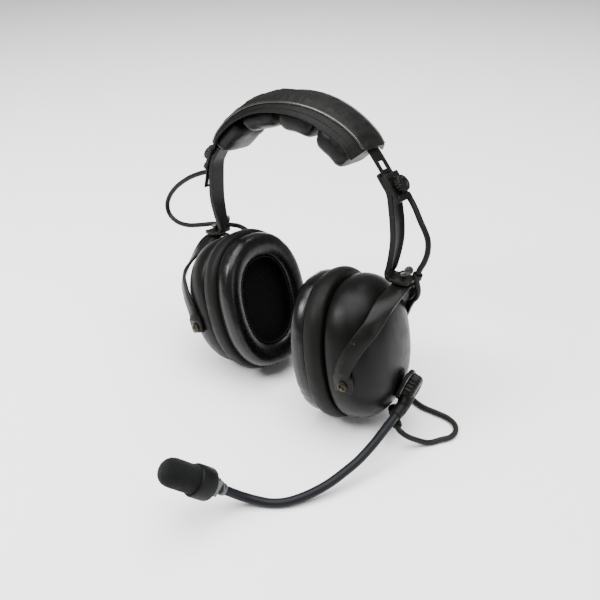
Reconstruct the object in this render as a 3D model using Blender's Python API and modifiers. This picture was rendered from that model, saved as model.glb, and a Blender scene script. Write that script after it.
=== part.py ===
"""Radio communication headset: sprung headband, sliding arms, yokes, sealed ear cups, boom microphone and lead.

The headset stands on the lower edges of both ear cups and on the low point of the boom.
Headset frame: X runs from ear to ear (+X is the cup with the microphone), -Y is the front, +Z is up.
Cup frame: X points away from the head, Y to the back, Z up, with its origin in the middle of the cushion flange.
"""

import math

import bmesh
import bpy
from mathutils import Matrix, Vector

MM = 0.001

# Stance on the table
LEAN = math.radians(-12.631)
PITCH = math.radians(-6.273)
STANCE_SHIFT = (10.34, 73.96, 124.0)

# Headband
BAND_R = 86.4
BAND_HALF_ANGLE = math.radians(58)
STRAP_T = 1.2
STRAP_W = 12.0
STRAP_TAIL = 26.0
COVER_R = 90.0
COVER_SHIFT = math.radians(3.5)
COVER_HALF_ANGLE = math.radians(50)
PAD_TOP_R = 84.4
PAD_T = 16.5
PAD_HALF_W = 17.8
PAD_COUNT = 4

# Sliding arms. The profile lists X and Z from the middle of the clamp, and the width along Y
KNOB_R = 5.7
ARM_T = 2.6
ARM_PROFILE = (
    (-9.4, 9.2, 10.0), (-8.8, 8.3, 12.0), (-5.4, 2.8, 12.5), (-2.9, -1.4, 12.5), (-1.9, -5.5, 12.5),
    (-1.5, -12.0, 12.5), (-1.0, -22.5, 13.0), (-1.6, -33.5, 12.5), (-4.2, -44.5, 11.0), (-7.0, -53.0, 9.5),
    (-8.2, -56.5, 10.0), (-7.2, -59.0, 12.5), (-4.0, -60.0, 15.0), (2.1, -60.8, 15.5), (7.0, -61.6, 13.5),
    (8.4, -61.9, 10.0),
)
SWIVEL = (2.1, 0.0, -59.4)
SWIVEL_AXIS = (0.13, 0.0, 1.0)

# Yokes
HUB_DROP = 4.7
YOKE_W = 13.0
YOKE_T = 2.4

# Ear cups
SEAL_HALF = (39.9, 51.8)
SEAL_HOLE = (24.0, 34.0)
FLANGE_HALF = (43.1, 54.9)
FLANGE_HOLE = (30.0, 40.0)
DOME_HALF = (41.0, 51.5)
OVAL_POWER = 2.3
CUP_STEPS = 32
PIVOT = (23.8, 40.2, -8.8)

# Microphone boom
BOOM_PIVOT = (43.7, 4.0, -27.0)
BOOM_TILT = math.radians(24)
BOOM_R = 3.0
BOOM_KNOB_R = 10.3
BOOM_ROUTE = ((89.6, -15.5, -121.0), (89.0, -27.0, -124.4), (87.4, -39.3, -129.4), (85.5, -49.5, -134.0),
              (82.5, -62.0, -138.8), (78.9, -72.5, -142.1), (74.7, -83.7, -145.1), (69.7, -93.4, -147.2),
              (64.0, -101.9, -148.8), (57.6, -109.3, -149.6), (50.0, -115.3, -149.1), (42.6, -120.6, -146.2),
              (37.4, -124.8, -143.0), (33.6, -129.4, -138.6), (31.0, -133.4, -134.4))
MIC_ALONG = (-0.215, -0.70, 0.685)

# Cable loops from each clamp to the clip on the arm's foot, and on to the ear cup
CABLE_R = 1.9
LOOP_ROUTES = {
    "near": dict(loop=((93.9, 3.4, 18.6), (96.8, 2.4, 13.6), (99.9, 1.2, 7.8), (103.7, 0.2, 1.0),
                       (105.6, 0.0, -5.0), (105.0, 0.0, -12.5), (102.4, 0.0, -19.2), (98.6, 0.3, -25.2),
                       (96.4, 0.8, -30.0), (95.6, 1.4, -34.0)),
                 tail=((95.5, 1.7, -34.7), (95.0, 4.0, -41.0), (92.0, 7.0, -47.0), (87.0, 9.4, -52.0)),
                 screw=(93.1, -3.8, -24.8)),
    "far": dict(loop=((84.5, 2.0, 33.0), (94.0, 1.0, 32.0), (108.0, 0.0, 28.0), (124.0, -0.5, 20.5),
                      (135.0, -0.8, 12.0), (140.2, -1.0, 3.5), (138.8, -1.0, -4.5), (130.5, -1.0, -10.2),
                      (119.0, 0.0, -12.4), (107.0, 3.0, -12.0), (97.0, 7.5, -11.5), (88.0, 11.4, -12.0),
                      (81.0, 12.6, -12.4)),
                tail=((75.4, 12.9, -12.8), (71.0, 13.0, -13.2), (64.0, 12.0, -15.0), (58.5, 11.0, -17.4)),
                screw=(81.5, 10.0, -6.8)),
}

# Lead
CORD_R = 2.0
GLAND_FOOT = (36.2, 1.4, -47.6)
GLAND_END = (88.0, -20.5, -134.3)
CORD_FALL = ((94.2, -21.2, -139.0), (98.4, -16.4, -143.8))
CORD_ROUTE = ((104.6, -7.8), (110.2, 0.2), (114.2, 6.2), (115.0, 13.0), (111.6, 19.4), (104.0, 22.4),
              (95.0, 22.0), (85.0, 21.4), (75.0, 24.0), (64.0, 30.0), (54.0, 37.0), (47.0, 45.5))
COIL_CENTRE = (15.0, 58.0)
COIL_MID_R = 22.0
COIL_HALF_W = 8.3
COIL_HEIGHT = 8.3
PLUG_SPOT = (-51.0, 28.2, 7.8)

STANCE = Matrix.Rotation(PITCH, 4, "X") @ Matrix.Rotation(LEAN, 4, "Y")
SIDES = {"near": 1, "far": -1}
DOME_OUTSIDE = ((46.2, 0.08), (45.6, 0.26), (43.8, 0.47), (40.6, 0.66), (36.2, 0.81), (30.5, 0.92),
                (24.0, 0.98), (17.0, 1.0), (11.5, 0.985), (9.4, 0.955), (8.4, 0.90))
DOME_INSIDE = ((8.4, 0.85), (11.0, 0.92), (20.0, 0.93), (29.0, 0.85), (35.5, 0.70), (40.0, 0.50),
               (42.8, 0.26), (43.4, 0.08))
CUPS = {
    "near": dict(centre=(40.8, -12.0, -83.1), yaw=5.3, roll=-1.2, yoke_roll=0.0, travel=21.0, splay=0.0),
    "far": dict(centre=(40.8, -12.0, -62.7), yaw=4.4, roll=8.3, yoke_roll=8.5, travel=0.5,
                splay=math.radians(10)),
}

for stale in list(bpy.data.objects):
    bpy.data.objects.remove(stale)

parts = bpy.data.collections.new("communication_headset")
cutters = bpy.data.collections.new("cutters")
bpy.context.scene.collection.children.link(parts)
bpy.context.scene.collection.children.link(cutters)


# ---------------------------------------------------------------- materials

def finish(name, colour, roughness, metallic=0.0):
    material = bpy.data.materials.new(name)
    material.use_nodes = True
    shader = material.node_tree.nodes["Principled BSDF"]
    shader.inputs["Base Color"].default_value = (*colour, 1.0)
    shader.inputs["Roughness"].default_value = roughness
    shader.inputs["Metallic"].default_value = metallic
    material.diffuse_color = (*colour, 1.0)
    return material


SHELL = finish("moulded_shell", (0.012, 0.013, 0.012), 0.42)
VINYL = finish("seal_vinyl", (0.010, 0.010, 0.010), 0.25)
LEATHER = finish("cover_leatherette", (0.014, 0.015, 0.014), 0.55)
PAINT = finish("black_painted_steel", (0.015, 0.016, 0.015), 0.40, 0.3)
STEEL = finish("bright_steel", (0.35, 0.34, 0.32), 0.35, 1.0)
BRASS = finish("brass", (0.30, 0.24, 0.12), 0.35, 1.0)
RUBBER = finish("cable_rubber", (0.015, 0.015, 0.016), 0.50)
FOAM = finish("foam", (0.008, 0.008, 0.008), 0.95)
BOARD = finish("circuit_board", (0.02, 0.09, 0.04), 0.50)


# ---------------------------------------------------------------- helpers

def mm(x, y, z):
    return Vector((x, y, z)) * MM


def empty(name, matrix, parent=None):
    holder = bpy.data.objects.new(name, None)
    parts.objects.link(holder)
    holder.parent = parent
    holder.matrix_local = matrix
    return holder


def place(obj, material, parent, matrix=None, into=parts):
    into.objects.link(obj)
    obj.parent = parent
    if matrix is not None:
        obj.matrix_local = matrix
    if material is not None:
        obj.data.materials.append(material)
    return obj


def mesh_object(name, bm, material, parent, matrix=None, smooth=True):
    bmesh.ops.recalc_face_normals(bm, faces=bm.faces)
    mesh = bpy.data.meshes.new(name)
    bm.to_mesh(mesh)
    bm.free()
    if smooth:
        mesh.shade_smooth()
        mesh.set_sharp_from_angle(angle=math.radians(40))
    return place(bpy.data.objects.new(name, mesh), material, parent, matrix)


def loft(name, rings, material, parent, closed=False, matrix=None):
    """Joins rings of equal length, given in millimetres; a closed loft runs back to its first ring."""
    bm = bmesh.new()
    loops = [[bm.verts.new(Vector(p) * MM) for p in ring] for ring in rings]
    count = len(loops[0])
    pairs = list(zip(loops, loops[1:]))
    if closed:
        pairs.append((loops[-1], loops[0]))
    for low, high in pairs:
        for i in range(count):
            j = (i + 1) % count
            bm.faces.new((low[i], low[j], high[j], high[i]))
    if not closed:
        bm.faces.new(loops[0])
        bm.faces.new(loops[-1])
    return mesh_object(name, bm, material, parent, matrix)


def turned(name, profile, steps, material, parent, matrix=None):
    """A solid turned about local Z from (radius, height) points listed from the top of the axis to its bottom."""
    bm = bmesh.new()
    points = [bm.verts.new(mm(r, 0, z)) for r, z in profile]
    for a, b in zip(points, points[1:]):
        bm.edges.new((a, b))
    mesh = bpy.data.meshes.new(name)
    bm.to_mesh(mesh)
    bm.free()
    obj = place(bpy.data.objects.new(name, mesh), material, parent, matrix)
    screw = obj.modifiers.new("Turn", "SCREW")
    screw.steps = screw.render_steps = steps
    screw.use_merge_vertices = True
    screw.merge_threshold = 0.00001
    screw.use_smooth_shade = True
    return obj


def block(name, size, centre, material, parent, bevel=0.5, matrix=None):
    bm = bmesh.new()
    bmesh.ops.create_cube(bm, size=1.0)
    bmesh.ops.scale(bm, vec=mm(*size), verts=bm.verts)
    bmesh.ops.translate(bm, vec=mm(*centre), verts=bm.verts)
    obj = mesh_object(name, bm, material, parent, matrix, smooth=False)
    if bevel:
        edge = obj.modifiers.new("Edge", "BEVEL")
        edge.width = bevel * MM
        edge.segments = 1
    return obj


def tube(name, points, radius, material, parent, resolution=2):
    curve = bpy.data.curves.new(name, "CURVE")
    curve.dimensions = "3D"
    curve.bevel_depth = radius * MM
    curve.bevel_resolution = resolution
    curve.use_fill_caps = True
    spline = curve.splines.new("POLY")
    spline.points.add(len(points) - 1)
    for point, place_mm in zip(spline.points, points):
        point.co = (*(Vector(place_mm) * MM), 1.0)
    return place(bpy.data.objects.new(name, curve), material, parent)


def smooth_path(route, count):
    """Reads a smooth curve through the route's own points at even steps along it."""
    dense = []
    ends = [2 * Vector(route[0]) - Vector(route[1])] + [Vector(p) for p in route]
    ends.append(2 * Vector(route[-1]) - Vector(route[-2]))
    for a, b, c, d in zip(ends, ends[1:], ends[2:], ends[3:]):
        for k in range(24):
            t = k / 24
            dense.append(0.5 * (2 * b + (c - a) * t + (2 * a - 5 * b + 4 * c - d) * t ** 2
                                + (3 * b - a - 3 * c + d) * t ** 3))
    dense.append(Vector(route[-1]))
    lengths = [0.0]
    for a, b in zip(dense, dense[1:]):
        lengths.append(lengths[-1] + (b - a).length)
    path, i = [], 0
    for k in range(count):
        target = lengths[-1] * k / (count - 1)
        while i < len(lengths) - 2 and lengths[i + 1] < target:
            i += 1
        share = (target - lengths[i]) / max(lengths[i + 1] - lengths[i], 1e-9)
        path.append(dense[i].lerp(dense[i + 1], min(max(share, 0.0), 1.0)))
    return path


def oval_point(angle, half, power=OVAL_POWER):
    c, s = math.cos(angle), math.sin(angle)
    return (half[0] * math.copysign(abs(c) ** (2 / power), c),
            half[1] * math.copysign(abs(s) ** (2 / power), s))


def oval_ring(x, half, scale=1.0, steps=CUP_STEPS, power=OVAL_POWER):
    points = [oval_point(2 * math.pi * k / steps, half, power) for k in range(steps)]
    return [(x, y * scale, z * scale) for y, z in points]


def cut(obj, cutter):
    hole = obj.modifiers.new("Cut " + cutter.name, "BOOLEAN")
    hole.operation = "DIFFERENCE"
    hole.object = cutter


def make_cutter(obj):
    parts.objects.unlink(obj)
    cutters.objects.link(obj)
    obj.hide_render = True
    obj.display_type = "WIRE"
    return obj


def pin_cutter(name, radius, length, matrix, parent, steps=16):
    bm = bmesh.new()
    bmesh.ops.create_cone(bm, cap_ends=True, segments=steps, radius1=radius * MM, radius2=radius * MM,
                          depth=length * MM)
    return make_cutter(mesh_object(name, bm, None, parent, matrix, smooth=False))


def aim(origin, direction, hint=(0, 0, 1)):
    """A matrix at origin, in millimetres, whose Z axis points along direction."""
    z = Vector(direction).normalized()
    x = Vector(hint).cross(z)
    if x.length < 1e-6:
        x = Vector((1, 0, 0))
    x.normalize()
    y = z.cross(x)
    turn = Matrix((x, y, z)).transposed().to_4x4()
    return Matrix.Translation(Vector(origin) * MM) @ turn


# ---------------------------------------------------------------- headband

def band_point(angle, radius, y):
    """A point on the arch: an arc between the half angles, then a straight run along its tangent."""
    bent = max(-BAND_HALF_ANGLE, min(BAND_HALF_ANGLE, angle))
    run = (abs(angle) - abs(bent)) * BAND_R * math.copysign(1, angle)
    x = radius * math.sin(bent) + run * math.cos(bent)
    z = radius * math.cos(bent) - run * math.sin(bent)
    return (x, y, z)


def make_headband(root):
    reach = BAND_HALF_ANGLE + STRAP_TAIL / BAND_R
    stations = [-reach + 2 * reach * k / 40 for k in range(41)]
    half_t = STRAP_T / 2
    rings = []
    for angle in stations:
        rings.append([band_point(angle, BAND_R + r, y * STRAP_W / 2)
                      for r, y in ((half_t, -1), (half_t, 1), (-half_t, 1), (-half_t, -1))])
    strap = loft("headband_strap", rings, PAINT, root)
    for name, sign in SIDES.items():
        for k in range(3):
            angle = sign * (BAND_HALF_ANGLE + (4.5 + 8.4 * k) / BAND_R)
            centre = band_point(angle, BAND_R, 0)
            outward = (sign * math.sin(BAND_HALF_ANGLE), 0, math.cos(BAND_HALF_ANGLE))
            slot = block("slot_%s_%d" % (name, k), (5.8, 5.2, 8.0), (0, 0, 0), None, root, bevel=0,
                         matrix=aim(centre, outward, hint=(0, 1, 0)))
            cut(strap, make_cutter(slot))

    rings = []
    for k in range(29):
        share = -1 + 2 * k / 28
        angle = COVER_SHIFT + COVER_HALF_ANGLE * share
        crown = 15.5 - 2.5 * share ** 2
        hem = crown + 9.0
        section = ((-hem, -11.0), (-crown - 1.5, -1.8), (-crown + 2, 0.0), (0, 0.8), (crown - 2, 0.0),
                   (crown + 1.5, -1.8), (hem, -11.0), (hem - 2.6, -11.6), (crown - 1.2, -2.9),
                   (0, -2.7), (-crown + 1.2, -2.9), (-hem + 2.6, -11.6))
        rings.append([band_point(angle, COVER_R + r, y) for y, r in section])
    loft("headband_cover", rings, LEATHER, root)

    pitch = 2 * COVER_HALF_ANGLE / PAD_COUNT
    for k in range(PAD_COUNT):
        middle = COVER_SHIFT - COVER_HALF_ANGLE + pitch * (k + 0.5)
        half = pitch * 0.44
        rings = []
        for end, inset in ((-1, 3.0), (-0.93, 1.0), (-0.8, 0.0), (0, 0.0), (0.8, 0.0), (0.93, 1.0), (1, 3.0)):
            angle = middle + half * end
            low = PAD_TOP_R - PAD_T + inset
            wide = PAD_HALF_W - inset * 0.6
            section = ((-wide + 5.0, PAD_TOP_R), (wide - 5.0, PAD_TOP_R), (wide, PAD_TOP_R - 6.5),
                       (wide, low + 4.0), (wide - 4.0, low), (-wide + 4.0, low), (-wide, low + 4.0),
                       (-wide, PAD_TOP_R - 6.5))
            rings.append([band_point(angle, r, y) for y, r in section])
        loft("crown_pad_%d" % (k + 1), rings, FOAM, root)

    lead = [band_point(COVER_SHIFT + COVER_HALF_ANGLE * 0.97 * (-1 + k / 10), BAND_R - 0.5, 9.0)
            for k in range(21)]
    tube("interconnect_lead", lead, 1.2, RUBBER, root, resolution=1)


# ---------------------------------------------------------------- side frames

class Side:
    """One side of the headset, in coordinates whose X points away from the head."""

    def __init__(self, name, sign, root):
        self.name = name
        mirror = Matrix.Diagonal((sign, 1, 1, 1))
        self.root = empty("side_" + name, mirror, root)
        self.frames = {self.root.name: Matrix.Identity(4)}

    def joint(self, label, matrix, parent):
        """An empty on a joint's axis, placed by its matrix in the side's coordinates."""
        name = label + "_" + self.name
        holder = empty(name, self.frames[parent.name].inverted() @ matrix, parent)
        self.frames[holder.name] = matrix
        return holder

    def local(self, matrix, parent):
        return self.frames[parent.name].inverted() @ matrix

    def points(self, route, parent):
        """Points of the side's coordinates, in millimetres, as the parent sees them."""
        inverse = self.frames[parent.name].inverted()
        return [inverse @ (Vector(p) * MM) / MM for p in route]


# ---------------------------------------------------------------- arms

STRAP_START = Vector(band_point(BAND_HALF_ANGLE, BAND_R, 0))
STRAP_ALONG = Vector((math.cos(BAND_HALF_ANGLE), 0, -math.sin(BAND_HALF_ANGLE)))
STRAP_OUT = Vector((math.sin(BAND_HALF_ANGLE), 0, math.cos(BAND_HALF_ANGLE)))


def make_arm(side, travel, splay):
    centre = STRAP_START + STRAP_ALONG * travel
    slider = side.joint("arm_slide", Matrix.Translation(centre * MM), side.root)

    frame = aim((0, 0, 0), STRAP_ALONG, hint=(0, 1, 0))
    outward_sign = 1 if (frame.to_3x3() @ Vector((1, 0, 0))).dot(STRAP_OUT) > 0 else -1
    body = block("clamp_" + side.name, (4.2, STRAP_W + 3.0, 20.0), (outward_sign * 1.3, 0, 0), PAINT, slider,
                 bevel=0.8, matrix=frame)
    channel = block("strap_way_" + side.name, (2.4, STRAP_W + 0.8, 40.0), (outward_sign * -0.2, 0, 0), None,
                    slider, bevel=0, matrix=frame)
    waist = block("knob_well_" + side.name, (4.0, 30.0, 11.6), (outward_sign * 4.2, 0, 0), None, slider,
                  bevel=0, matrix=frame)
    for cutter in (channel, waist):
        cut(body, make_cutter(cutter))

    hub = side.joint("clamp_knob_axis", Matrix.Translation(centre * MM) @ aim(STRAP_OUT * 2.2, STRAP_OUT,
                                                                              hint=(0, 1, 0)), slider)
    grip = []
    for height, scale in ((0.3, 0.5), (1.5, 0.5), (1.6, 0.94), (2.2, 1.0), (5.8, 1.0), (6.6, 0.92)):
        ring = []
        for k in range(20):
            a = 2 * math.pi * k / 20
            r = KNOB_R * scale * (1.0 if k % 2 else 0.95)
            ring.append((r * math.cos(a), r * math.sin(a), height))
        grip.append(ring)
    loft("clamp_knob_" + side.name, grip, PAINT, hub)

    lean = Matrix.Rotation(-splay, 4, "Y")
    rings = []
    centreline = [Vector((x, 0, z)) for x, z, _ in ARM_PROFILE]
    for k, (x, z, wide) in enumerate(ARM_PROFILE):
        tangent = (centreline[min(k + 1, len(centreline) - 1)] - centreline[max(k - 1, 0)]).normalized()
        normal = tangent.cross(Vector((0, 1, 0))).normalized() * (ARM_T / 2)
        y = Vector((0, wide / 2, 0))
        p = centreline[k]
        rings.append([p + normal - y, p + normal + y, p - normal + y, p - normal - y])
    arm = loft("arm_" + side.name, rings, PAINT, slider, matrix=lean)

    tab = Matrix.Translation(centre * MM) @ lean @ aim(SWIVEL, SWIVEL_AXIS, hint=(0, 1, 0))
    bore = pin_cutter("swivel_bore_" + side.name, 2.1, 14, side.local(tab, slider), slider)
    cut(arm, bore)
    return slider, tab, bore


# ---------------------------------------------------------------- yokes

def leg_normal(share, up, shoulder, foot):
    """The outer face of a leg looks up at the hub, outward on the shoulder and along the pivot at the foot."""
    if share < 0.12:
        return up.copy()
    if share < 0.45:
        return up.lerp(shoulder, (share - 0.12) / 0.33).normalized()
    return shoulder.lerp(foot, min((share - 0.45) / 0.4, 1.0)).normalized()


def make_yoke(side, slider, tab, pivot_frame, bore):
    yoke = side.joint("yoke_swivel", tab, slider)
    hub = tab @ (Vector((0, 0, -HUB_DROP)) * MM) / MM
    up = (tab.to_3x3() @ Vector((0, 0, 1))).normalized()
    across = pivot_frame.to_3x3() @ Vector((0, 1, 0))
    stations = []
    for hand in (-1, 1):
        foot = pivot_frame @ (Vector((0, hand * (PIVOT[1] + 2.0), 0)) * MM) / MM
        above = pivot_frame @ (Vector((0.6, hand * (PIVOT[1] + 2.0), 11)) * MM) / MM
        flank = pivot_frame @ (Vector((8.5, hand * (PIVOT[1] - 1.6), 26)) * MM) / MM
        crown = pivot_frame @ (Vector((16.5, hand * (PIVOT[1] - 9.5), 38)) * MM) / MM
        ankle = pivot_frame @ (Vector((-0.4, hand * (PIVOT[1] + 2.0), -4.5)) * MM) / MM
        near_hub = hub + Vector((0.5, hand * 9.0, -2.0))
        shoulder = near_hub.lerp(crown, 0.5) + up * 2.4
        route = [hub, near_hub, shoulder, crown, flank, above, foot, ankle]
        path = smooth_path(route, 15)
        leg = []
        for k, p in enumerate(path):
            share = k / (len(path) - 1)
            tangent = (path[min(k + 1, 14)] - path[max(k - 1, 0)]).normalized()
            normal = leg_normal(share, up, Vector((0.75, hand * 0.62, 0.35)), across * hand)
            if k == 0:
                tangent, normal = Vector((0, hand, 0)), up.copy()
            normal = (normal - tangent * normal.dot(tangent)).normalized()
            wide = tangent.cross(normal).normalized() * (YOKE_W * (1.0 - 0.22 * share) / 2) * hand
            thick = normal * (YOKE_T / 2)
            leg.append([p + thick - wide, p + thick + wide, p - thick + wide, p - thick - wide])
        stations.append(leg)
    rings = stations[0][::-1] + stations[1][1:]
    rings = [side.points(ring, yoke) for ring in rings]
    body = loft("yoke_" + side.name, rings, PAINT, yoke)
    cut(body, bore)
    pin = side.local(pivot_frame @ Matrix.Rotation(math.radians(90), 4, "X"), yoke)
    cut(body, pin_cutter("pivot_bore_" + side.name, 2.1, 140, pin, yoke))
    turned("swivel_screw_" + side.name,
           ((0, 4.3), (1.6, 4.2), (2.6, 3.5), (2.8, 1.9), (1.7, 1.8), (1.7, -5.4), (0, -5.4)),
           12, STEEL, yoke)
    return yoke


# ---------------------------------------------------------------- ear cups

def cup_matrix(spot):
    return (Matrix.Translation(mm(*spot["centre"])) @ Matrix.Rotation(math.radians(spot["yaw"]), 4, "Z")
            @ Matrix.Rotation(math.radians(spot["roll"]), 4, "Y"))


def ring_part(name, section, outer, hole, material, parent, matrix, steps=CUP_STEPS):
    """An oval ring; a section point is its share of the way from the hole to the rim, and its X."""
    rings = []
    for k in range(steps):
        a = 2 * math.pi * k / steps
        oy, oz = oval_point(a, outer)
        hy, hz = oval_point(a, hole)
        rings.append([(x, hy + (oy - hy) * t, hz + (oz - hz) * t) for t, x in section])
    return loft(name, rings, material, parent, closed=True, matrix=matrix)


def make_cup(side, yoke, frame):
    pivot = frame @ Matrix.Translation(mm(PIVOT[0], 0, PIVOT[2]))
    cup = side.joint("cup_pivot", pivot, yoke)
    inside = side.local(frame, cup)
    name = side.name

    dome = [oval_ring(x, DOME_HALF, s) for x, s in DOME_OUTSIDE]
    dome += [oval_ring(x, DOME_HALF, s) for x, s in DOME_INSIDE]
    loft("dome_" + name, dome, SHELL, cup, matrix=inside)
    ring_part("flange_" + name, ((0.0, -6.0), (0.72, -6.0), (0.93, -4.6), (1.0, -0.5), (0.97, 4.6), (0.72, 7.6),
                                 (0.0, 7.6)), FLANGE_HALF, FLANGE_HOLE, SHELL, cup, inside)
    ring_part("ear_seal_" + name, ((0.96, -6.5), (1.0, -9.5), (1.0, -13.0), (0.9, -17.4), (0.7, -19.9),
                                   (0.42, -19.9), (0.14, -18.0), (0.0, -14.5), (0.0, -6.5)),
              SEAL_HALF, SEAL_HOLE, VINYL, cup, inside)
    ring_part("baffle_" + name, ((0.0, 8.6), (1.0, 8.6), (1.0, 10.2), (0.0, 10.2)),
              (33.6, 42.2), (17.0, 17.0), SHELL, cup, inside, steps=24)
    loft("liner_foam_" + name, [oval_ring(x, (28.6, 38.6), s, 20) for x, s in ((-4.6, 0.97), (-4, 1), (-1.4, 1))],
         FOAM, cup, matrix=inside)
    loft("damping_foam_" + name, [oval_ring(x, (23, 31), s, 20) for x, s in ((25.5, 1), (32, 1), (33, 0.96))],
         FOAM, cup, matrix=inside)
    axis = inside @ Matrix.Rotation(math.radians(90), 4, "Y")
    turned("driver_" + name, ((0, 23.5), (11.5, 23.5), (12, 23), (12, 17), (20, 16.6), (20.4, 10.7), (0, 10.7)),
           20, STEEL, cup, matrix=axis)
    for label, hand in (("front", -1), ("rear", 1)):
        way = side.local(pivot, cup) @ Matrix.Rotation(math.radians(-90 * hand), 4, "X")
        turned("pivot_screw_%s_%s" % (label, name),
               ((0, PIVOT[1] + 5.0), (2.8, PIVOT[1] + 4.9), (3.6, PIVOT[1] + 4.3), (3.6, PIVOT[1] + 3.6),
                (1.7, PIVOT[1] + 3.5), (1.7, PIVOT[1] + 0.6), (0, PIVOT[1] + 0.6)), 12, BRASS, cup, matrix=way)
    return cup, inside


# ---------------------------------------------------------------- cup cables

def make_cables(side, slider, yoke):
    name = side.name
    route = LOOP_ROUTES[name]
    path = side.points(smooth_path(route["loop"], 26), slider)
    tube("cable_loop_" + name, path, CABLE_R, RUBBER, slider)
    tail = side.points(smooth_path(route["tail"], 10), yoke)
    tube("cable_tail_" + name, tail, CABLE_R, RUBBER, yoke)

    end, before = Vector(route["loop"][-2]), Vector(route["loop"][-3])
    middle = end.lerp(before, 0.05)
    ring = side.local(aim(middle, end - before, hint=(0, 1, 0)), slider)
    turned("cable_clip_" + name, ((2.45, 2.0), (3.3, 2.0), (3.3, -2.0), (2.45, -2.0), (2.45, 2.0)), 16, PAINT,
           slider, matrix=ring)
    face = side.local(aim(route["screw"], (0.35, -1.0, 0.25)), slider)
    turned("clip_screw_" + name, ((0, 1.6), (1.7, 1.5), (1.8, 1.0), (2.7, 0.8), (2.8, 0.2), (2.8, -1.6), (0, -1.6)),
           16, STEEL, slider, matrix=face)


# ---------------------------------------------------------------- microphone boom

def make_boom(side, cup, cup_frame):
    """The boom and the microphone, which only the near cup has."""
    axis = Vector((math.cos(BOOM_TILT), 0, -math.sin(BOOM_TILT)))
    hub = cup_frame @ aim(BOOM_PIVOT, axis, hint=(0, 1, 0))
    swing = side.joint("boom_swing", hub, cup)
    turned("boom_boss", ((0, 3.4), (11.0, 3.4), (11.6, 2.9), (11.6, 0.9), (10.8, 0.4), (0, 0.4)), 24, PAINT, cup,
           matrix=side.local(hub, cup))
    grip = []
    for height, scale in ((3.8, 0.95), (4.3, 1.0), (8.0, 1.0), (9.8, 0.95), (11.0, 0.84), (11.5, 0.6)):
        ring = []
        for k in range(24):
            a = 2 * math.pi * k / 24
            r = BOOM_KNOB_R * scale * (1.0 if k % 2 else 0.965)
            ring.append((r * math.cos(a), r * math.sin(a), height))
        grip.append(ring)
    loft("boom_knob", grip, PAINT, swing)

    first, second = Vector(BOOM_ROUTE[0]), Vector(BOOM_ROUTE[1])
    ferrule = side.local(aim(first, second - first, hint=(1, 0, 0)), swing)
    turned("boom_ferrule", ((3.15, 9.0), (4.2, 8.6), (4.6, 2.0), (4.6, -1.0), (3.2, -3.2), (0, -3.2), (0, 0.7),
                            (3.15, 0.7),
                            (3.15, 9.0)), 16, RUBBER, swing, matrix=ferrule)
    begin = first + (second - first).normalized() * 1.0
    path = smooth_path([begin] + [Vector(p) for p in BOOM_ROUTE[1:]], 44)
    tube("boom_gooseneck", side.points(path, swing), BOOM_R, RUBBER, swing)

    end, along = Vector(BOOM_ROUTE[-1]), Vector(MIC_ALONG).normalized()
    head = aim(end, along, hint=(0, 0, 1))
    turned("boom_socket", ((0, 4.2), (3.7, 4.1), (4.0, 3.6), (4.0, 1.2), (3.6, 1.0), (0, 1.0)), 16, PAINT, swing,
           matrix=side.local(head, swing))
    turn = head @ Matrix.Translation(mm(0, 0, 9.0)) @ Matrix.Rotation(math.radians(90), 4, "X")
    mic = side.joint("mic_swivel", turn, swing)
    inner = side.local(head, mic)
    block("mic_bracket", (6.0, 10.5, 7.0), (0, 0, 9.1), STEEL, mic, bevel=1.2, matrix=inner)
    turned("mic_capsule", ((0, 38.0), (5.6, 38.0), (6.0, 37.4), (6.0, 13.0), (0, 13.0)), 16, SHELL, mic,
           matrix=inner)
    turned("mic_windscreen", ((0, 49.0), (3.6, 48.7), (6.4, 47.4), (8.2, 44.8), (8.8, 41.0), (8.8, 13.8),
                              (8.2, 13.2), (6.4, 13.2), (6.4, 38.6), (0, 38.6)), 20, FOAM, mic, matrix=inner)
    turned("mic_collar", ((9.1, 26.0), (9.7, 25.9), (10.3, 24.8), (10.3, 14.8), (9.6, 13.6), (9.1, 13.5),
                          (9.1, 26.0)), 20, RUBBER, mic, matrix=inner)


# ---------------------------------------------------------------- lead

def on_table(x, y, height):
    """The point above (x, y) of the headset frame, in millimetres, that lies height above the table."""
    row = STANCE[2]
    return Vector((x, y, (height - row[0] * x - row[1] * y - STANCE_SHIFT[2]) / row[2]))


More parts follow.
